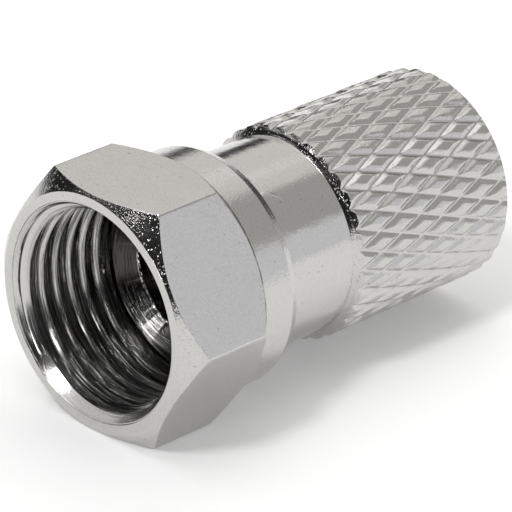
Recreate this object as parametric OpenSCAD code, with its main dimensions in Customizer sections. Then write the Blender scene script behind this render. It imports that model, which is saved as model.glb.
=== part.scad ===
// F connector: a twist-on plug for coaxial cable, turned from plated brass.
// Two pieces: a hexagonal coupling nut with an internal thread, and a tubular
// body whose front flange is held in the nut, so that the nut spins freely.
// The axis lies along Y with the mouth of the nut toward -Y. The plug lies on
// one flat of the hexagon, and the origin is on that flat, halfway along.

/* [Coupling nut] */
// Width across the flats of the hexagon
hex_af = 11; // [10.9:0.1:13]
// Length of the nut, from its face to its rear edge
nut_l = 7.1; // [6.9:0.1:9]
// Length of the hexagon, from the face to the collar
hex_l = 4.75; // [4:0.05:5.5]
// Diameter of the flat ring at the front
face_d = 10.7; // [10.2:0.1:10.8]
// Slope of the front bevel of the corners, from the plane of the face
front_bevel = 40; // [25:1:45]
// Slope of the rear bevel of the corners
rear_bevel = 35; // [20:1:45]
// Diameter of the collar where it leaves the hexagon
collar_d = 10.75; // [10.3:0.05:10.85]
// Diameter of the collar at its rolled rear end
collar_end_d = 10.15; // [9.8:0.05:10.3]
// Bevel of the collar's rear edge
collar_edge = 0.12; // [0.05:0.01:0.3]

/* [Port thread] */
// Diameter of the mouth
mouth_d = 9.86; // [9.4:0.02:10]
// Inner diameter of the thread, at its crests
thread_d = 8.7; // [8.4:0.05:8.8]
// Depth of the lead-in at the mouth
lead_in = 0.7; // [0.3:0.05:1]
// Depth at which the thread ends and the chamber of the flange starts
thread_end = 4.95; // [4:0.05:5.1]
// Diameter of the chamber behind the thread
chamber_d = 9.5; // [9.3:0.05:9.6]

/* [Swivel] */
// Length of the lip that holds the flange in the nut
lip_l = 0.8; // [0.5:0.05:1]
// Diameter of the neck that the lip turns on
neck_d = 8; // [7.4:0.05:8.3]
// Running clearance between neck and lip
spin_gap = 0.08; // [0.04:0.01:0.15]
// Clearance round the flange
flange_gap = 0.15; // [0.08:0.01:0.25]
// End play of the nut, on each side of its lip
end_gap = 0.1; // [0.06:0.01:0.2]
// Thickness of the flange at its rim
flange_l = 0.7; // [0.4:0.05:0.8]
// Height that the front of the flange rises toward the bore
flange_rise = 0.2; // [0.05:0.05:0.3]

/* [Body] */
// Diameter of the smooth barrel
barrel_d = 9.02; // [8.8:0.02:9.1]
// Length of the smooth barrel
barrel_l = 4; // [2:0.1:7]
// Diameter of the bore for the cable's insulation
core_bore_d = 5.2; // [4.6:0.1:5.8]
// Diameter of the cable bore, at the crests of its thread
cable_bore_d = 6.6; // [6.2:0.1:7]
// Depth of the cable bore from the rear end
cable_bore_l = 11.5; // [9:0.1:12.5]
// Width of the bevel at the rear of the cable bore
cable_lead_in = 0.45; // [0.2:0.05:0.6]

/* [Knurl] */
// Diameter over the crests of the knurl
knurl_d = 9.8; // [9.6:0.05:10.2]
// Length of the knurled grip
knurl_l = 9.65; // [5:0.05:14]
// Depth of the knurl's grooves
knurl_depth = 0.15; // [0.1:0.01:0.2]
// Share of a diamond's length that its land takes, at full diameter
land_share = 0.47; // [0.3:0.01:0.7]
// Number of grooves of each hand
knurl_count = 32; // [20:1:44]
// Length of one diamond along the axis
diamond_l = 2.55; // [1.5:0.05:4]
// Distance from the shoulder to the first crossing of two grooves
first_crossing = 0.26; // [0:0.01:1]
// Turn of the pattern about the axis
knurl_turn = 5.3; // [0:0.1:12]
// Slope of the front bevel of the grip, from the plane of the shoulder
grip_bevel = 40; // [30:1:50]
// Bevel of the rear edge of the grip
grip_edge = 0.3; // [0.1:0.05:0.5]

/* [Hidden] */
$fn = 96;

// Stations along the axis, from the face of the nut
lip_z = nut_l - lip_l;
flange_back = lip_z - end_gap;
flange_front = flange_back - flange_l;
shoulder_z = nut_l + end_gap;
grip_z = shoulder_z + barrel_l;
total_l = grip_z + knurl_l;
cable_z = total_l - cable_bore_l;

// Radii
corner_r = hex_af / 2 / cos(30);
face_r = face_d / 2;
collar_r = collar_d / 2;
collar_end_r = collar_end_d / 2;
thread_r = thread_d / 2;
chamber_r = chamber_d / 2;
neck_r = neck_d / 2;
barrel_r = barrel_d / 2;
crest_r = knurl_d / 2;
root_r = crest_r - knurl_depth;
core_bore_r = core_bore_d / 2;
cable_bore_r = cable_bore_d / 2;

// Cutters run this far past the faces that they cut
past = 1;

// Stands the plug's axis along Y, on the lower flat of the hexagon
module lay_down() {
    translate([0, -total_l / 2, hex_af / 2]) rotate([-90, 0, 0]) children();
}

// ---- coupling nut ----

// Blank whose cones bevel both ends of the hexagon's corners
module hex_envelope() {
    blank_r = corner_r + past;
    front_rise = (blank_r - face_r) * tan(front_bevel);
    rear_rise = (blank_r - collar_r) * tan(rear_bevel);
    rotate_extrude() polygon([
        [0, 0],
        [face_r, 0],
        [blank_r, front_rise],
        [blank_r, hex_l - rear_rise],
        [collar_r, hex_l],
        [0, hex_l]
    ]);
}

// Hexagon with its bevelled corners
module hexagon() {
    intersection() {
        cylinder(h = hex_l, r = corner_r, $fn = 6);
        hex_envelope();
    }
}

// Round collar behind the hexagon, rolled in to close over the flange
module collar() {
    rotate_extrude() polygon([
        [0, hex_l - past],
        [collar_r, hex_l - past],
        [collar_r, hex_l],
        [collar_end_r, nut_l - collar_edge],
        [collar_end_r - collar_edge, nut_l],
        [0, nut_l]
    ]);
}

// Mouth, thread, chamber of the flange and running bore of the lip
module nut_bore() {
    lead_slope = (mouth_d / 2 - thread_r) / lead_in;
    rotate_extrude() polygon([
        [0, -past],
        [mouth_d / 2 + past * lead_slope, -past],
        [thread_r, lead_in],
        [thread_r, thread_end],
        [chamber_r, thread_end],
        [chamber_r, lip_z],
        [neck_r + spin_gap, lip_z],
        [neck_r + spin_gap, nut_l + past],
        [0, nut_l + past]
    ]);
}

module coupling_nut() {
    color("gainsboro") lay_down() difference() {
        union() {
            hexagon();
            collar();
        }
        nut_bore();
    }
}

// ---- body ----

// Flange, neck and smooth barrel; the barrel runs on under the knurl
module body_front() {
    flange_r = chamber_r - flange_gap;
    rotate_extrude() polygon([
        [0, flange_front - flange_rise],
        [core_bore_r, flange_front - flange_rise],
        [flange_r, flange_front],
        [flange_r, flange_back],
        [neck_r, flange_back],
        [neck_r, shoulder_z],
        [barrel_r, shoulder_z],
        [barrel_r, grip_z + past],
        [0, grip_z + past]
    ]);
}

// Bar with crossed right-hand and left-hand grooves, which leave diamonds with
// flat lands. Its points form a grid: every second one is a crossing of two
// grooves, the others are the middles of lands, and each edge of the grid
// holds the corner where its land starts.
module knurled_bar() {
    columns = 2 * knurl_count;
    row_l = diamond_l / 2;
    rows = ceil(knurl_l / row_l) + 4;
    first_z = grip_z + first_crossing - 2 * row_l;
    flank_share = 1 - land_share;

    function crossing(i, j) = (i + j) % 2 == 0;
    function corner(i, j) = crossing(i, j) ? flank_share : land_share;
    function spot(r, i, j) =
        let (a = knurl_turn + i * 360 / columns)
        [r * cos(a), -r * sin(a), first_z + j * row_l];

    grid = [
        for (j = [0 : rows], i = [0 : columns - 1])
            spot(crossing(i, j) ? root_r : crest_r, i, j)
    ];
    corners_round = [
        for (j = [0 : rows], i = [0 : columns - 1])
            spot(crest_r, i + corner(i, j), j)
    ];
    corners_along = [
        for (j = [0 : rows - 1], i = [0 : columns - 1])
            spot(crest_r, i, j + corner(i, j))
    ];
    round_at = len(grid);
    along_at = round_at + len(corners_round);

    // One cell of the grid holds a stretch of groove, two flanks and two
    // quarters of lands
    sides = [
        for (j = [0 : rows - 1], i = [0 : columns - 1])
            let (
                next = (i + 1) % columns,
                p = j * columns + i,
                q = j * columns + next,
                pp = p + columns,
                qq = q + columns,
                low = round_at + p,
                high = round_at + pp,
                left = along_at + p,
                right = along_at + q
            )
            each crossing(i, j)
                ? [[p, low, right], [p, right, qq], [low, q, right],
                   [p, qq, high], [p, high, left], [left, high, pp]]
                : [[p, low, left], [low, q, pp], [low, pp, left],
                   [q, right, high], [q, high, pp], [right, qq, high]]
    ];
    front = [for (i = [columns - 1 : -1 : 0]) each [round_at + i, i]];
    back = [
        for (i = [0 : columns - 1])
            let (last = rows * columns + i)
            each [last, round_at + last]
    ];
    polyhedron(concat(grid, corners_round, corners_along), concat([front], sides, [back]));
}

// Blank of the grip: its front cone rises from the barrel, its rear edge is bevelled
module grip_envelope() {
    blank_r = crest_r + past;
    rise = (blank_r - barrel_r) * tan(grip_bevel);
    rotate_extrude() polygon([
        [0, grip_z],
        [barrel_r, grip_z],
        [blank_r, grip_z + rise],
        [blank_r, total_l - grip_edge - past],
        [crest_r - grip_edge, total_l],
        [0, total_l]
    ]);
}

// Bore for the insulation, opening into the wider bore for the sheath
module body_bore() {
    step = cable_bore_r - core_bore_r;
    rotate_extrude() polygon([
        [0, flange_front - flange_rise - past],
        [core_bore_r, flange_front - flange_rise - past],
        [core_bore_r, cable_z - step],
        [cable_bore_r, cable_z],
        [cable_bore_r, total_l - cable_lead_in],
        [cable_bore_r + cable_lead_in + past, total_l + past],
        [0, total_l + past]
    ]);
}

module connector_body() {
    color("silver") lay_down() difference() {
        union() {
            body_front();
            intersection() {
                knurled_bar();
                grip_envelope();
            }
        }
        body_bore();
    }
}

coupling_nut();
connector_body();
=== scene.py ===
"""Visual model of a twist-on F connector: a hexagonal coupling nut that spins
on a tubular body with a diamond-knurled grip, both nickel plated.

Lengths are written in millimetres and turned into metres where a mesh is made.
A station s is a distance along the axis from the face of the nut."""

import math
import random

import bmesh
import bpy
from mathutils import Matrix, Vector


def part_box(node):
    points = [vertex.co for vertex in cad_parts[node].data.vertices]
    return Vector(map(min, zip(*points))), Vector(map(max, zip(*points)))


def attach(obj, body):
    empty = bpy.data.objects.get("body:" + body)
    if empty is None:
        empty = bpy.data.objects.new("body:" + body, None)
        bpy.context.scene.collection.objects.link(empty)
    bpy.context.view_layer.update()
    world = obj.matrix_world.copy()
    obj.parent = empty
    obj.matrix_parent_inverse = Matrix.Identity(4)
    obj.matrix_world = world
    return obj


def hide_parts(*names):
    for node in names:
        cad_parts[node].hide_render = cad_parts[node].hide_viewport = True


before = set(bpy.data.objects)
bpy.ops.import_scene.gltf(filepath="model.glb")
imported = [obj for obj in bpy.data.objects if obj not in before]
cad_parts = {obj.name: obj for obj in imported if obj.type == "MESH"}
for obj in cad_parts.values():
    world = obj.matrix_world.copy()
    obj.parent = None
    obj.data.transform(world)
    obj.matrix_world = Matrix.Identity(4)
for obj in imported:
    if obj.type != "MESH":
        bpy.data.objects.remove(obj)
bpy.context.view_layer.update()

MM = 0.001
TAU = 2 * math.pi

# ---- sizes ----
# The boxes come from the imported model, and most other values are named ones of
# part.scad. Those marked (p) follow a closer reading of the photograph, and
# part.scad has them less exactly or not at all. Those marked (g) are not in
# part.scad either, and are guesses, as the photograph hides them.

nut_low, nut_high = (Vector(v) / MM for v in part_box("coupling_nut"))
_, body_high = (Vector(v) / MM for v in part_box("connector_body"))

FACE_Y = nut_low.y
AXIS_Z = (nut_low.z + nut_high.z) / 2
HEX_AF = nut_high.z - nut_low.z
NUT_L = nut_high.y - nut_low.y
TOTAL_L = body_high.y - FACE_Y

# Hexagon and collar
HEX_L = 5.05  # (p)
HEX_CORNER_R = 0.13  # (p) rounding of the hexagon's corners
FACE_R = 10.7 / 2
FRONT_BEVEL = math.radians(40)
REAR_BEVEL = math.radians(45)  # (p)
COLLAR_R = 10.75 / 2
COLLAR_END_R = 10.4 / 2  # (p)
ROLL_L = 0.47  # (p) length of the collar's rolled end
COLLAR_EDGE = 0.05  # (p)

# Inside of the nut
MOUTH_R = 9.86 / 2
MOUTH_EDGE = 0.06  # (p) station at which the lead-in starts
THREAD_R = 8.8 / 2  # (p) at the crests
THREAD_ROOT_R = 4.74  # (p)
THREAD_PITCH = 25.4 / 32
THREAD_LAND = 0.04  # (p) width of a crest
THREAD_TURN = math.radians(61)  # (p) where the thread starts, about the axis
LEAD_IN = 0.65  # (p)
THREAD_END = 5.05  # (p)
CHAMBER_R = 9.5 / 2
LIP_Z = NUT_L - 0.8
LIP_R = 4.08

# Body
NECK_R = 4.0
FLANGE_R = CHAMBER_R - 0.15
FLANGE_BACK = LIP_Z - 0.1
FLANGE_FRONT = FLANGE_BACK - 0.7
NOSE_R = 3.6  # (p)
NOSE_Z = FLANGE_FRONT - 0.85  # (p)
SHOULDER_Z = NUT_L + 0.1
GRIP_Z = SHOULDER_Z + 4.0
BARREL_R = 9.02 / 2
CORE_R = 2.8  # (p)
SINK_L = NOSE_R - CORE_R  # (p) depth of the countersink
SINK_END = NOSE_Z + SINK_L
BURR_REACH = 0.06  # (p) width of the burr on the bore's front rim
CABLE_R = 3.3
CABLE_ROOT_R = 3.48  # (g)
CABLE_PITCH = 1.0  # (g)
CABLE_LAND = 0.3  # (g)
CABLE_Z = TOTAL_L - 11.5
CABLE_LEAD_IN = 0.45
CABLE_THREAD_END = TOTAL_L - 0.25  # (g)

# Knurl
CREST_R = 4.9
KNURL_DEPTH = 0.15
KNURL_COUNT = 32
DIAMOND_L = 2.55
FIRST_CROSSING = 0.26
KNURL_TURN = math.radians(5.3)
GRIP_EDGE = 0.3
GRIP_BEVEL = math.radians(40)
# Across a groove, in spacings of the grooves: half width of its floor, and where
# the land starts. Then the rounding where two flanks meet, and how much lower
# than the others a land may be.
FLOOR_D = 0.035  # (p)
LAND_D = 0.275  # (p)
RIDGE = 0.022  # (p)
UNEVEN = 0.008  # (p)


def place(radius, angle, station):
    """Point in metres at a radius, an angle from +X towards +Z, and a station."""
    return Vector((
        radius * math.cos(angle),
        FACE_Y + station,
        AXIS_Z + radius * math.sin(angle),
    )) * MM


# ---- mesh helpers ----

def rounded(corners, steps=4, hold=0.05):
    """Open outline with its corners rounded.

    corners holds (station, radius, rounding); each rounded corner becomes an
    arc with a holding point beside each end, which keeps flats flat."""
    out = []
    count = len(corners)
    for k, (s, r, size) in enumerate(corners):
        here = Vector((s, r))
        if size <= 0 or k in (0, count - 1):
            out.append(here)
            continue
        before = Vector(corners[k - 1][:2]) - here
        after = Vector(corners[k + 1][:2]) - here
        turn = before.angle(after)
        # An arc takes at most this share of the sides that it joins
        share = 0.4
        reach = min(
            size / math.tan(turn / 2), before.length * share, after.length * share)
        size = reach * math.tan(turn / 2)
        middle = here + (before.normalized() + after.normalized()).normalized() * (
            size / math.sin(turn / 2))
        first = here + before.normalized() * reach
        last = here + after.normalized() * reach
        out.append(first + before.normalized() * min(hold, before.length * 0.08))
        a0 = math.atan2(*(first - middle).yx)
        a1 = math.atan2(*(last - middle).yx)
        sweep = (a1 - a0 + math.pi) % TAU - math.pi
        for n in range(steps + 1):
            a = a0 + sweep * n / steps
            out.append(middle + Vector((math.cos(a), math.sin(a))) * size)
        out.append(last + after.normalized() * min(hold, after.length * 0.08))
    return out


class Skin:
    """Collects points, merging equal ones, and faces between them."""

    def __init__(self):
        self.points, self.index, self.faces = [], {}, []

    def point(self, co):
        key = (round(co[0] * 1e8), round(co[1] * 1e8), round(co[2] * 1e8))
        if key not in self.index:
            self.index[key] = len(self.points)
            self.points.append(co)
        return self.index[key]

    def face(self, *ids):
        ring = []
        for i in ids:
            if i not in ring:
                ring.append(i)
        if len(ring) > 2:
            self.faces.append(ring)

    def band(self, low, high):
        """Faces between two closed rings of points of one length."""
        for k in range(len(low)):
            n = (k + 1) % len(low)
            self.face(low[k], low[n], high[n], high[k])

    def mesh(self, name):
        mesh = bpy.data.meshes.new(name)
        mesh.from_pydata([tuple(p) for p in self.points], [], self.faces)
        mesh.validate()
        bm = bmesh.new()
        bm.from_mesh(mesh)
        bmesh.ops.recalc_face_normals(bm, faces=bm.faces)
        bm.to_mesh(mesh)
        bm.free()
        return mesh


def smoothstep(x, low, high):
    t = min(max((x - low) / (high - low), 0.0), 1.0)
    return t * t * (3 - 2 * t)


def thread_bore(skin, angles, start, end, pitch, profile, limit, tools, turn_at=0.0):
    """Right-hand internal thread between two flat rings; returns both rings.

    profile holds (station, radius) over one pitch, from a crest. Its rows follow
    the helix, which has a crest at the start where the angle is turn_at.
    limit(s) is the least radius at a station, from a lead-in. tools(row, angle)
    is the depth of the tool's marks along a row."""
    crest = profile[0][1]
    turns = math.ceil((end - start) / pitch) + 2
    rows = [(start + turn * pitch + x, r)
            for turn in range(-1, turns) for x, r in profile]
    grid = []
    for j, (s_row, r) in enumerate(rows):
        line = []
        for k in range(len(angles) + 1):
            a = angles[k % len(angles)]
            full = a + TAU if k == len(angles) else a
            s = s_row - pitch * (full - turn_at) / TAU
            # A row that runs out of the bore stays on its end ring
            held = min(max(s, start), end)
            fade = 0.0
            if held == s:
                fade = smoothstep(min(s - start, end - s), 0.0, 0.05)
            radius = crest + (r + tools(j, a) - crest) * fade
            line.append(skin.point(place(max(radius, limit(held)), a, held)))
        grid.append(line)
    for low, high in zip(grid, grid[1:]):
        for k in range(len(angles)):
            skin.face(low[k], low[k + 1], high[k + 1], high[k])
    return [[skin.point(place(max(crest, limit(s)), a, s)) for a in angles]
            for s in (start, end)]


def thread_profile(pitch, crest, root, land, rows):
    """One pitch of a thread, from the middle of a crest: the hidden flank in
    few rows, then the root and the flank that faces the mouth in many, which
    bend a little, as worn tools and thick plating leave them."""
    depth = root - crest
    flank = depth * 0.65
    round_off = 0.005
    out = [
        (0.0, crest),
        (land / 2, crest + round_off),
        (land / 2 + flank / 2, crest + depth * 0.5),
    ]
    floor_start = land / 2 + flank
    floor_end = pitch - land / 2 - flank
    for n in range(rows // 2):
        x = n / (rows // 2)
        out.append((floor_start + (floor_end - floor_start) * x, root))
    for n in range(rows + 1):
        x = n / rows
        bend = x + 0.08 * math.sin(math.pi * x)
        out.append((floor_end + flank * x, root - (depth - round_off) * bend))
    return out


def piece(name, mesh, body, slot, *nodes):
    """Object of a mesh that rides on a body and stands for CAD nodes."""
    obj = bpy.data.objects.new(name, mesh)
    bpy.context.scene.collection.objects.link(obj)
    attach(obj, body)
    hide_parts(*nodes)
    return obj


# ---- coupling nut ----

def hexagon_radius(angle):
    """Radius of a hexagon with rounded corners, one of which is at angle 0."""
    off = abs((angle + math.pi / 6) % (math.pi / 3) - math.pi / 6)
    centre = (HEX_AF / 2 - HEX_CORNER_R) / math.cos(math.pi / 6)
    # The arc holds only between the two points where it touches the flats
    touch = math.atan2(
        HEX_CORNER_R / 2, centre + HEX_CORNER_R * math.cos(math.pi / 6))
    if off > touch:
        return (HEX_AF / 2) / math.cos(math.pi / 6 - off)
    return centre * math.cos(off) + math.sqrt(
        HEX_CORNER_R ** 2 - (centre * math.sin(off)) ** 2)


def near_corners(per_sector):
    """Angles round the nut, close together at the corners of the hexagon."""
    half = per_sector // 2
    bends = [(n / half) ** 1.6 * math.pi / 6 for n in range(half + 1)]
    out = []
    for sector in range(6):
        base = sector * math.pi / 3
        out += [base + bend for bend in bends[:-1]]
        out += [base + math.pi / 3 - bend for bend in reversed(bends[1:])]
    return out


def nut_mesh():
    skin = Skin()
    angles = near_corners(56)
    outlines = []
    for a in angles:
        r = hexagon_radius(a)
        front = (r - FACE_R) * math.tan(FRONT_BEVEL)
        rear = HEX_L - (r - COLLAR_R) * math.tan(REAR_BEVEL)
        outlines.append(rounded([
            (MOUTH_EDGE, MOUTH_R - 0.02, 0),
            (0.0, MOUTH_R + 0.02, 0.03),
            (0.0, FACE_R, 0.05),
            (front, r, 0.05),
            (rear, r, 0.05),
            (HEX_L, COLLAR_R, 0.04),
            (NUT_L - ROLL_L, COLLAR_R, 0.12),
            (NUT_L - COLLAR_EDGE, COLLAR_END_R, 0.03),
            (NUT_L, COLLAR_END_R - COLLAR_EDGE, 0.03),
            (NUT_L, LIP_R, 0.05),
            (LIP_Z, LIP_R, 0.05),
            (LIP_Z, CHAMBER_R, 0.04),
            (THREAD_END, CHAMBER_R, 0.04),
            (THREAD_END, THREAD_R + 0.03, 0),
        ]))
    rings = [
        [skin.point(place(spot.y, a, spot.x)) for a, spot in zip(angles, spots)]
        for spots in zip(*outlines)]
    for low, high in zip(rings, rings[1:]):
        skin.band(low, high)

    rng = random.Random(11)
    marks = [(rng.uniform(-1, 1), rng.uniform(0, TAU), rng.choice((1, 2, 3)))
             for _ in range(400)]

    def tools(row, angle):
        """Depth of the tool's marks, up to a micrometre, along one row."""
        size, phase, waves = marks[row % len(marks)]
        return 0.001 * size * (0.7 + 0.3 * math.sin(waves * angle + phase))

    def lead_in(s):
        return MOUTH_R - s * (MOUTH_R - THREAD_R) / LEAD_IN

    profile = thread_profile(
        THREAD_PITCH, THREAD_R, THREAD_ROOT_R, THREAD_LAND, rows=10)
    mouth, inner = thread_bore(
        skin, angles, MOUTH_EDGE, THREAD_END, THREAD_PITCH, profile, lead_in, tools,
        turn_at=THREAD_TURN)
    skin.band(rings[-1], inner)
    skin.band(mouth, rings[0])
    return skin.mesh("nut_detail")


# ---- connector body ----

def flank_height(d):
    """Height over a groove's floor at a distance from its middle."""
    return KNURL_DEPTH * min(max((d - FLOOR_D) / (LAND_D - FLOOR_D), 0.0), 1.0)


def soft_min(a, b, size):
    """Smaller of two heights, rounded over where they meet."""
    h = max(size - abs(a - b), 0.0) / size
    return min(a, b) - h * h * size * 0.25


def knurl_bar():
    """Bar with crossed right-hand and left-hand grooves.

    It is made of cells. Cell (i, j) is the i-th diamond round the bar in row j,
    between four crossings of grooves. Its points lie at shares of its two sides,
    which are close together at the foot and the top of a flank."""
    skin = Skin()
    cuts = [0.0, 0.028, 0.045, 0.15, 0.255, 0.285, 0.39, 0.5]
    steps = cuts + [1 - c for c in reversed(cuts[:-1])]
    last = len(steps) - 1
    row_l = DIAMOND_L / 2
    half = math.pi / KNURL_COUNT
    first = GRIP_Z + FIRST_CROSSING
    rng = random.Random(7)
    lower = {}

    def grid_point(i, j, a, b):
        """Point of a cell; u and v run across the grooves of the two hands."""
        u, v = steps[a], steps[b]
        theta = KNURL_TURN + half * (2 * i + (j % 2) + u + v - 1)
        s = first + row_l * (j + u - v)
        height = soft_min(
            flank_height(min(u, 1 - u)), flank_height(min(v, 1 - v)), RIDGE)
        # A number is drawn for each point, and a cell keeps its first one
        top = lower.setdefault((i, j), rng.uniform(-UNEVEN, 0.0))
        if height > 0:
            height += top * (height / KNURL_DEPTH) ** 2
        return place(CREST_R - KNURL_DEPTH + height, theta, s)

    for j in range(-1, int((TOTAL_L - first) / row_l) + 3):
        for i in range(KNURL_COUNT):
            ids = [[skin.point(grid_point(i, j, a, b)) for b in range(last + 1)]
                   for a in range(last + 1)]
            for a in range(last):
                for b in range(last):
                    p, q = ids[a][b], ids[a + 1][b]
                    r, t = ids[a + 1][b + 1], ids[a][b + 1]
                    # Each quad is split along the ridge that it may hold
                    if (a < last / 2) == (b < last / 2):
                        skin.face(p, q, r)
                        skin.face(p, r, t)
                    else:
                        skin.face(p, q, t)
                        skin.face(q, r, t)
    return skin


def close_bar(mesh):
    """Closes both ragged ends of the bar, well outside the body. In front it
    widens first, so that it holds the whole of the barrel and the flange."""
    past = 3.0
    wide_r = CREST_R * 1.3
    bm = bmesh.new()
    bm.from_mesh(mesh)
    edges = [e for e in bm.edges if e.is_boundary]
    middle = (FACE_Y + GRIP_Z + 4) * MM
    for front in (True, False):
        ring = [e for e in edges
                if ((e.verts[0].co.y + e.verts[1].co.y) / 2 < middle) == front]
        stops = [(CREST_R, TOTAL_L + past)]
        if front:
            stops = [(wide_r, GRIP_Z - past), (wide_r, FLANGE_FRONT - past)]
        for radius, station in stops:
            made = bmesh.ops.extrude_edge_only(bm, edges=ring)["geom"]
            for vert in [g for g in made if isinstance(g, bmesh.types.BMVert)]:
                flat = Vector((vert.co.x, 0, vert.co.z - AXIS_Z * MM)).normalized()
                vert.co = Vector((
                    flat.x * radius, FACE_Y + station,
                    AXIS_Z + flat.z * radius)) * MM
            ring = [g for g in made if isinstance(g, bmesh.types.BMEdge)
                    and g.is_boundary]
        bmesh.ops.holes_fill(bm, edges=ring)
    bmesh.ops.recalc_face_normals(bm, faces=bm.faces)
    bm.to_mesh(mesh)
    bm.free()


def burr(angle):
    """Height of the ragged burr on the rim of the insulation bore."""
    # Counts of waves round the rim, and their phases
    waves = ((7, 0.4), (13, 2.1), (23, 4.4), (41, 1.3), (67, 5.2))
    rough = sum(math.sin(k * angle + phase) for k, phase in waves) / len(waves)
    mean_height, swing = 0.05, 0.09
    return mean_height + swing * max(rough, -0.4)


def cable_lead_in(s):
    """Least radius of the cable bore, from the bevel at its rear."""
    return CABLE_R + CABLE_LEAD_IN - (TOTAL_L - s)


def body_blank():
    """Whole body with a plain grip that is a little larger than the knurl."""
    skin = Skin()
    count = 240
    angles = [TAU * k / count for k in range(count)]
    blank_r = CREST_R + 0.3
    rise = (blank_r - BARREL_R) * math.tan(GRIP_BEVEL)
    step = CABLE_R - CORE_R
    outline = rounded([
        (CABLE_Z, CABLE_R, 0),
        (CABLE_Z - step, CORE_R, 0.05),
        (SINK_END, CORE_R, 0.02),
        (NOSE_Z, NOSE_R, 0.02),
        (FLANGE_FRONT, NOSE_R, 0.04),
        (FLANGE_FRONT, FLANGE_R, 0.04),
        (FLANGE_BACK, FLANGE_R, 0.04),
        (FLANGE_BACK, NECK_R, 0.04),
        (SHOULDER_Z, NECK_R, 0.04),
        (SHOULDER_Z, BARREL_R, 0.06),
        (GRIP_Z, BARREL_R, 0.02),
        (GRIP_Z + rise, blank_r, 0),
        (TOTAL_L - GRIP_EDGE - 0.3, blank_r, 0),
        (TOTAL_L, CREST_R - GRIP_EDGE, 0.04),
        (TOTAL_L, CABLE_R + CABLE_LEAD_IN, 0.04),
        (CABLE_THREAD_END, cable_lead_in(CABLE_THREAD_END), 0),
    ])
    rings = []
    for p in outline:
        # Share of the burr that a ring takes, by its distance from the rim
        away = Vector((p.x - SINK_END, p.y - CORE_R)).length
        share = max(1 - away / BURR_REACH, 0.0)
        rings.append([
            skin.point(place(p.y - share * burr(a), a, p.x - share * burr(a) * 0.8))
            for a in angles])
    for low, high in zip(rings, rings[1:]):
        skin.band(low, high)
    profile = thread_profile(CABLE_PITCH, CABLE_R, CABLE_ROOT_R, CABLE_LAND, rows=4)
    inner, rear = thread_bore(
        skin, angles, CABLE_Z, CABLE_THREAD_END, CABLE_PITCH, profile,
        cable_lead_in, lambda row, angle: 0.0)
    skin.band(rings[-1], rear)
    skin.band(inner, rings[0])
    return skin.mesh("body_blank")


def body_mesh():
    """Body whose grip is cut to the knurl, by one intersection."""
    blank = bpy.data.objects.new("body_blank", body_blank())
    bar_mesh = knurl_bar().mesh("knurl_bar")
    close_bar(bar_mesh)
    bar = bpy.data.objects.new("knurl_bar", bar_mesh)
    for obj in (blank, bar):
        bpy.context.scene.collection.objects.link(obj)
    cut = blank.modifiers.new("knurl", "BOOLEAN")
    cut.operation = "INTERSECT"
    cut.solver = "EXACT"
    cut.object = bar
    graph = bpy.context.evaluated_depsgraph_get()
    mesh = bpy.data.meshes.new_from_object(blank.evaluated_get(graph))
    mesh.name = "body_detail"
    for obj in (blank, bar):
        bpy.data.objects.remove(obj)
    return mesh


# ---- materials ----

class Nodes:
    """Short way to write a node tree."""

    def __init__(self, tree):
        self.tree = tree
        tree.nodes.clear()

    def add(self, kind, **values):
        node = self.tree.nodes.new(kind)
        for key, value in values.items():
            setattr(node, key, value)
        return node

    def link(self, source, target):
        self.tree.links.new(source, target)

    def math(self, operation, a, b=None, clamp=False):
        node = self.add("ShaderNodeMath", operation=operation, use_clamp=clamp)
        for socket, value in zip(node.inputs, (a, b)):
            if value is None:
                continue
            if isinstance(value, (int, float)):
                socket.default_value = value
            else:
                self.link(value, socket)
        return node.outputs[0]

    def ramp(self, value, low, high, to=(0.0, 1.0)):
        """Smooth step of a value between two levels."""
        node = self.add("ShaderNodeMapRange", interpolation_type="SMOOTHSTEP")
        node.inputs["From Min"].default_value = low
        node.inputs["From Max"].default_value = high
        node.inputs["To Min"].default_value = to[0]
        node.inputs["To Max"].default_value = to[1]
        self.link(value, node.inputs["Value"])
        return node.outputs["Result"]

    def times(self, value, *others):
        for other in others:
            value = self.math("MULTIPLY", value, other)
        return value

    def plus(self, value, *others):
        for other in others:
            value = self.math("ADD", value, other)
        return value

    def minus(self, value, other):
        return self.math("SUBTRACT", value, other)

    def mix(self, fac, first, second):
        """Colour between two. Each value is a number, a colour or a socket."""
        node = self.add("ShaderNodeMixRGB")
        for key, value in (("Fac", fac), ("Color1", first), ("Color2", second)):
            if isinstance(value, tuple):
                node.inputs[key].default_value = (*value, 1)
            elif isinstance(value, float):
                node.inputs[key].default_value = value
            else:
                self.link(value, node.inputs[key])
        return node.outputs[0]


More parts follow.
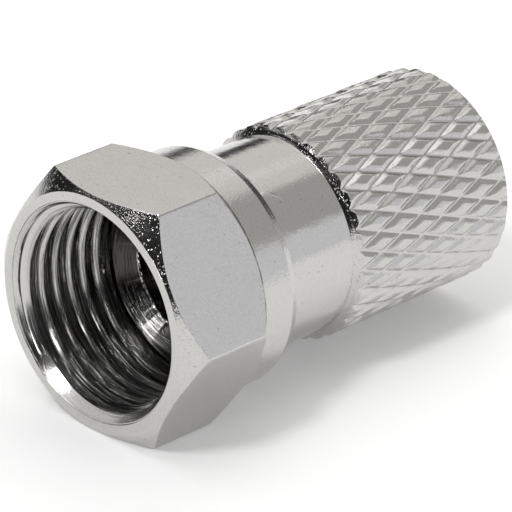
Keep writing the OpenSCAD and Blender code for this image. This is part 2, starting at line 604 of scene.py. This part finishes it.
class Surface(Nodes):
    """Node tree of a turned piece: s and r are a point's station and radius in
    millimetres, angle is its angle about the axis, from -X towards -Z."""

    def __init__(self, tree):
        super().__init__(tree)
        self.where = self.add("ShaderNodeTexCoord").outputs["Object"]
        split = self.add("ShaderNodeSeparateXYZ")
        self.link(self.where, split.inputs[0])
        x, y, z = split.outputs
        self.s = self.times(self.minus(y, FACE_Y * MM), 1 / MM)
        down = self.times(self.minus(z, AXIS_Z * MM), -1 / MM)
        side = self.times(x, -1 / MM)
        square = self.plus(self.math("POWER", down, 2.0), self.math("POWER", side, 2.0))
        self.r = self.math("SQRT", square)
        self.angle = self.math("ARCTAN2", down, side)

    def noise_at(self, vector, scale, detail):
        node = self.add("ShaderNodeTexNoise")
        node.inputs["Scale"].default_value = scale
        node.inputs["Detail"].default_value = detail
        self.link(vector, node.inputs["Vector"])
        return node.outputs["Fac"]

    def noise(self, per_mm, detail=2):
        return self.noise_at(self.where, per_mm / MM, detail)

    def grooves(self, pitch, per_mm):
        """Noise drawn out along a helix, as a turning tool leaves it."""
        along = self.plus(self.s, self.times(self.angle, pitch / TAU))
        combine = self.add("ShaderNodeCombineXYZ")
        self.link(self.times(along, per_mm), combine.inputs[0])
        self.link(self.times(self.angle, 1.5), combine.inputs[1])
        return self.noise_at(combine.outputs[0], scale=1.0, detail=3)

    def near(self, value, at, reach):
        """1 at a value, falling to 0 at a reach on both sides."""
        far = self.math("ABSOLUTE", self.minus(value, at))
        return self.ramp(far, 0.4 * reach, reach, to=(1.0, 0.0))


NICKEL = (0.568, 0.561, 0.549)
# Painted shade: dark colour for the nose, countersink and bores, standing in for the shade
# inside them
BORE_SHADE_COLOR = (0.065, 0.06, 0.058)
# Painted highlight: bright colour for the ragged burr on the bore's rim, well above the
# nickel's
RIM_HIGHLIGHT = (0.95, 0.94, 0.92)
# Painted shade: dark colour for the line in the crease between the hexagon and the collar
CREASE_SHADE = (0.06, 0.06, 0.06)


def shade(factor):
    return tuple(c * factor for c in NICKEL)


def nickel(name, pitch, peel_height, masks):
    """Plated brass. masks(n) gives where it is turned, where a bevel is coarse, and, if
    there are any, where painted shade darkens the bores, where a painted highlight brightens
    a rim, where a painted dark line of shade lies in a crease and where a nick stands out.
    pitch is that of the turning marks."""
    material = bpy.data.materials.new(name)
    material.use_nodes = True
    n = Surface(material.node_tree)
    out = n.add("ShaderNodeOutputMaterial")
    shader = n.add("ShaderNodeBsdfPrincipled")
    shader.inputs["Metallic"].default_value = 1.0
    n.link(shader.outputs[0], out.inputs["Surface"])
    mask = {"dull": 0.0, "bright": 0.0, "line": 0.0, "nick": 0.0, **masks(n)}
    turned = mask["turned"]
    polished = n.minus(1.0, turned)
    # The lead-in at the mouth is cut finer than what lies behind it, and the painted shade
    # in the grooves starts only behind it
    fine_to, full_from = 0.45, 0.7
    behind = n.ramp(n.s, fine_to, full_from)
    finer = n.ramp(n.s, fine_to, full_from, to=(0.3, 1.0))

    # Relief in micrometres: fine sand and orange peel on polished faces, the
    # turning tool's marks and ridges, grains on coarse bevels, and the nick
    sand_height, mark_height, ridge_height = 3.2, 12.0, 5.0
    grain_height, nick_height = 20.0, 26.0
    sand = n.times(n.noise(13), sand_height)
    peel = n.times(n.noise(2.2), peel_height)
    marks = n.times(n.grooves(pitch, 15.0), mark_height)
    ridges = n.times(n.ramp(n.grooves(pitch, 26.0), 0.54, 0.62), ridge_height)
    grains = n.times(
        n.ramp(n.noise(10, detail=0), 0.68, 0.82), mask["coarse"], grain_height)
    # The knurled grip is rougher than the smooth faces
    grip = n.ramp(n.r, BARREL_R + 0.1, BARREL_R + 0.2, to=(1.0, 2.2))
    relief = n.plus(
        n.times(n.plus(sand, peel), polished, grip),
        n.times(n.plus(marks, ridges), turned, finer),
        grains, n.times(mask["nick"], nick_height))
    bump = n.add("ShaderNodeBump")
    bump.inputs["Strength"].default_value = 1.0
    bump.inputs["Distance"].default_value = 1e-6
    n.link(relief, bump.inputs["Height"])
    n.link(bump.outputs[0], shader.inputs["Normal"])

    cloud = n.ramp(n.noise(0.9, detail=6), 0.3, 0.7, to=(0.10, 0.16))
    rougher_turned = 0.06
    n.link(n.plus(cloud, n.times(turned, rougher_turned)), shader.inputs["Roughness"])

    # Colour: mottled plating, dark pits, painted shade as dark lines in the grooves between
    # the turning marks, and a painted dark line of shade in a crease, broken in places
    mottle = n.ramp(n.noise(11, detail=1), 0.3, 0.7)
    pits = n.times(n.ramp(n.noise(5.5, detail=0), 0.8, 0.84), 0.4)
    streaks = n.ramp(n.grooves(pitch, 24.0), 0.42, 0.6, to=(0.75, 0.0))
    broken = n.ramp(n.noise(3, detail=1), 0.3, 0.6, to=(0.35, 0.95))
    color = n.mix(mottle, shade(0.955), shade(1.03))
    color = n.mix(pits, color, shade(0.3))
    # Painted shade in the grooves between the turning marks, in the bores behind the lead-in
    color = n.mix(n.times(streaks, turned, behind), color, shade(0.1))
    # Painted shade darkens the nose, countersink and bores
    color = n.mix(mask["dull"], color, BORE_SHADE_COLOR)
    # Painted highlight on the burr at the bore's rim
    color = n.mix(mask["bright"], color, RIM_HIGHLIGHT)
    # Painted shade in the crease between the hexagon and the collar, broken in places
    color = n.mix(n.times(mask["line"], broken), color, CREASE_SHADE)
    n.link(color, shader.inputs["Base Color"])
    return material


def nut_masks(n):
    """The bore is turned, the front bevels are coarse, and a painted dark line of shade runs
    in the crease between the hexagon and the collar."""
    inside = n.ramp(n.r, MOUTH_R - 0.02, MOUTH_R, to=(1.0, 0.0))
    # Distance behind the cone that bevels the corners at the front
    behind = n.minus(n.s, n.times(n.minus(n.r, FACE_R), math.tan(FRONT_BEVEL)))
    bevel = n.times(
        n.ramp(behind, 0.03, 0.06, to=(1.0, 0.0)),
        n.ramp(n.r, FACE_R + 0.03, FACE_R + 0.08), 0.45)
    # Painted shade along the crease where the hexagon's rear bevel meets the collar
    line = n.times(n.near(n.s, HEX_L + 0.01, 0.035), n.near(n.r, COLLAR_R, 0.06))
    return {"turned": inside, "coarse": bevel, "line": line}


def body_masks(n):
    """Nose and bores are turned and darkened with painted shade, the burr on their rim gets
    a painted highlight, the grip's front bevel is coarse, and the barrel has a nick."""
    ahead = n.ramp(n.s, FLANGE_FRONT - 0.05, FLANGE_FRONT, to=(1.0, 0.0))
    bore = n.ramp(n.r, CABLE_ROOT_R + 0.02, CABLE_ROOT_R + 0.05, to=(1.0, 0.0))
    turned = n.math("MAXIMUM", ahead, bore)
    # How far behind the grip's front the cone that bevels it lies
    rise = n.times(n.minus(n.r, BARREL_R), math.tan(GRIP_BEVEL))
    bevel = n.times(
        n.near(n.minus(n.s, rise), GRIP_Z, 0.05),
        n.ramp(n.r, BARREL_R + 0.02, BARREL_R + 0.05), 0.6)
    # The burr is real relief; its bright colour, broken by noise, is a painted highlight
    rim = n.times(
        n.near(n.s, SINK_END - 0.03, 0.09), n.near(n.r, CORE_R - 0.02, 0.1),
        n.ramp(n.noise(5, detail=1), 0.38, 0.5))
    # The painted shade is left off the lower left of the countersink, where the lamp's
    # highlight falls
    shade_gap = n.times(n.near(n.angle, 1.2, 0.75), ahead, 0.9)
    dull = n.times(turned, n.minus(1.0, shade_gap))
    # A curved nick in the barrel, beside the collar: where it starts, its middle,
    # its reach along the axis, half its width and its bend
    nick_s, middle_s, reach, half_width, bend = 7.85, 8.15, 0.6, 0.13, 0.26
    nick_angle = math.radians(59.5 - 180)
    past = n.math("ABSOLUTE", n.minus(n.s, nick_s))
    bow = n.times(n.math("POWER", past, 2.0), bend)
    across = n.times(n.plus(n.angle, bow), BARREL_R)
    nick = n.times(
        n.near(across, nick_angle * BARREL_R, half_width),
        n.near(n.s, middle_s, reach), n.near(n.r, BARREL_R, 0.05))
    return {"turned": turned, "coarse": bevel, "dull": dull, "bright": rim, "nick": nick}


def finish_piece(obj, material, sharp_from=25):
    """Smooth faces with sharp edges from an angle in degrees, and one material."""
    for polygon in obj.data.polygons:
        polygon.use_smooth = True
    obj.data.set_sharp_from_angle(angle=math.radians(sharp_from))
    obj.data.materials.clear()
    obj.data.materials.append(material)


nut = piece("nut_detail", nut_mesh(), "coupling_nut", "nut_plating", "coupling_nut")
finish_piece(nut, nickel("nut_nickel", THREAD_PITCH, peel_height=3.5, masks=nut_masks))

body = piece("body_detail", body_mesh(), "connector_body", "body_plating", "connector_body")
finish_piece(body, nickel("body_nickel", 0.0, peel_height=9.0, masks=body_masks))


# ---- floor, world, camera ----

def make_floor():
    """White disc, lit by the world. It glows a little for the eye, for metal and
    for glass, as the background of the photograph does, but gives no light."""
    glow_strength = 0.16
    mesh = bpy.data.meshes.new("floor")
    bm = bmesh.new()
    bmesh.ops.create_circle(bm, cap_ends=True, segments=96, radius=0.9)
    bm.to_mesh(mesh)
    bm.free()
    obj = bpy.data.objects.new("floor", mesh)
    bpy.context.scene.collection.objects.link(obj)
    material = bpy.data.materials.new("floor_white")
    material.use_nodes = True
    n = Nodes(material.node_tree)
    out = n.add("ShaderNodeOutputMaterial")
    shader = n.add("ShaderNodeBsdfDiffuse")
    shader.inputs["Color"].default_value = (0.92, 0.92, 0.92, 1)
    path = n.add("ShaderNodeLightPath")
    seen = n.plus(path.outputs["Is Camera Ray"], path.outputs["Is Glossy Ray"])
    seen = n.math("ADD", seen, path.outputs["Is Transmission Ray"], clamp=True)
    glow = n.add("ShaderNodeEmission")
    n.link(n.times(seen, glow_strength), glow.inputs["Strength"])
    both = n.add("ShaderNodeAddShader")
    n.link(shader.outputs[0], both.inputs[0])
    n.link(glow.outputs[0], both.inputs[1])
    n.link(both.outputs[0], out.inputs["Surface"])
    mesh.materials.append(material)


def make_world():
    """Soft boxes painted on the sky by direction, one layer over another."""
    world = bpy.data.worlds.new("studio")
    bpy.context.scene.world = world
    world.use_nodes = True
    n = Nodes(world.node_tree)
    out = n.add("ShaderNodeOutputWorld")
    background = n.add("ShaderNodeBackground")
    n.link(background.outputs[0], out.inputs["Surface"])
    coord = n.add("ShaderNodeTexCoord")
    split = n.add("ShaderNodeSeparateXYZ")
    n.link(coord.outputs["Generated"], split.inputs[0])
    x, y, z = split.outputs
    # In degrees: from +Y towards +X, the same from -Y, and elevation
    degrees = 180 / math.pi
    turn = n.times(n.math("ARCTAN2", x, y), degrees)
    swing = n.times(n.math("ARCTAN2", x, n.times(y, -1.0)), degrees)
    lift = n.times(n.math("ARCSINE", z), degrees)

    def beyond(angle, at, soft):
        """1 where the angle is larger, over a soft edge."""
        return n.ramp(angle, at - soft, at + soft)

    def above(at, soft, height=lift):
        """1 where the height is larger, over a soft edge."""
        return n.ramp(height, at - soft, at + soft)

    def right_of(at, level, lean, soft=0.03):
        """1 where x > at + lean * (z - level): right of a straight edge."""
        return n.ramp(n.minus(x, n.times(n.minus(z, level), lean)), at - soft, at + soft)

    def off(mask):
        return n.minus(1.0, mask)

    color = (0.02, 0.02, 0.02)

    def layer(mask, strength, tint=(1, 1, 1)):
        nonlocal color
        color = n.mix(mask, color, tuple(strength * c for c in tint))

    warm, cream, cool = (1.0, 0.985, 0.95), (1.01, 1.0, 0.955), (0.985, 0.995, 1.025)
    round_back = n.math("ABSOLUTE", turn)
    back = off(beyond(round_back, 88, soft=6))
    behind = off(beyond(round_back, 95, soft=6))
    # Tent wall at the front left, over the dark of the room; its edge slopes
    slope = n.times(n.minus(swing, -87.0), 0.46)
    layer(n.times(off(back), above(18.5, soft=3, height=n.minus(lift, slope))), strength=0.8)
    # Ceiling: grey at the back, bright white at the front
    layer(n.times(back, above(0, soft=3)), strength=0.51, tint=warm)
    layer(n.times(off(back), above(66, soft=8)), strength=2.0)
    # White box at the back left, brighter at its top
    box = n.times(behind, off(right_of(0.07, level=0.755, lean=1.24)))
    layer(n.times(box, above(18, soft=3)), strength=0.88, tint=cream)
    layer(n.times(box, off(beyond(turn, -20, soft=10)), above(48, soft=6)), strength=1.45)
    # A dark slit under the box, and the far floor under the slit
    left = n.times(behind, off(beyond(turn, 0, soft=5)))
    layer(n.times(left, above(4, soft=2), off(above(17, soft=2.5))), strength=0.05)
    layer(n.times(left, off(above(4, soft=2))), strength=1.0)
    # White panel at the right
    panel = n.times(off(beyond(turn, 125, soft=4)), right_of(0.543, level=0.242, lean=0.735))
    layer(panel, strength=0.86, tint=cool)
    # Round lamps: over the camera, low beside it, and at the left. Each has its
    # degrees to the right, elevation, radius in degrees and strength.
    for side, height, radius, strength in (
            (6, 55, 6, 28.0), (3.2, 11, 5, 14.0), (-15, 46, 3, 7.0)):
        ax, az = math.radians(side), math.radians(height)
        dot = n.add("ShaderNodeVectorMath", operation="DOT_PRODUCT")
        n.link(coord.outputs["Generated"], dot.inputs[0])
        dot.inputs[1].default_value = (
            math.sin(ax) * math.cos(az), -math.cos(ax) * math.cos(az), math.sin(az))
        outer, inner = (math.cos(math.radians(radius + soft)) for soft in (1, -1))
        layer(n.ramp(dot.outputs["Value"], outer, inner), strength)
    n.link(color, background.inputs["Color"])


def make_camera():
    """The photograph's view, from the upper right in front of the nut."""
    data = bpy.data.cameras.new("camera")
    data.sensor_width = 36
    data.lens = 312.76
    data.clip_start = 0.01
    data.clip_end = 5
    camera = bpy.data.objects.new("camera", data)
    bpy.context.scene.collection.objects.link(camera)
    spot = Vector((120.7599, -123.4949, 91.3807)) * MM
    forward = Vector((-0.626480, 0.637478, -0.448491)).normalized()
    up = Vector((-0.336006, 0.298311, 0.893370)).normalized()
    right = forward.cross(up).normalized()
    up = right.cross(forward)
    turn = Matrix((right, up, -forward)).transposed()
    camera.matrix_world = Matrix.Translation(spot) @ turn.to_4x4()
    bpy.context.scene.camera = camera


make_floor()
make_world()
make_camera()
bpy.context.scene.view_settings.view_transform = "Standard"
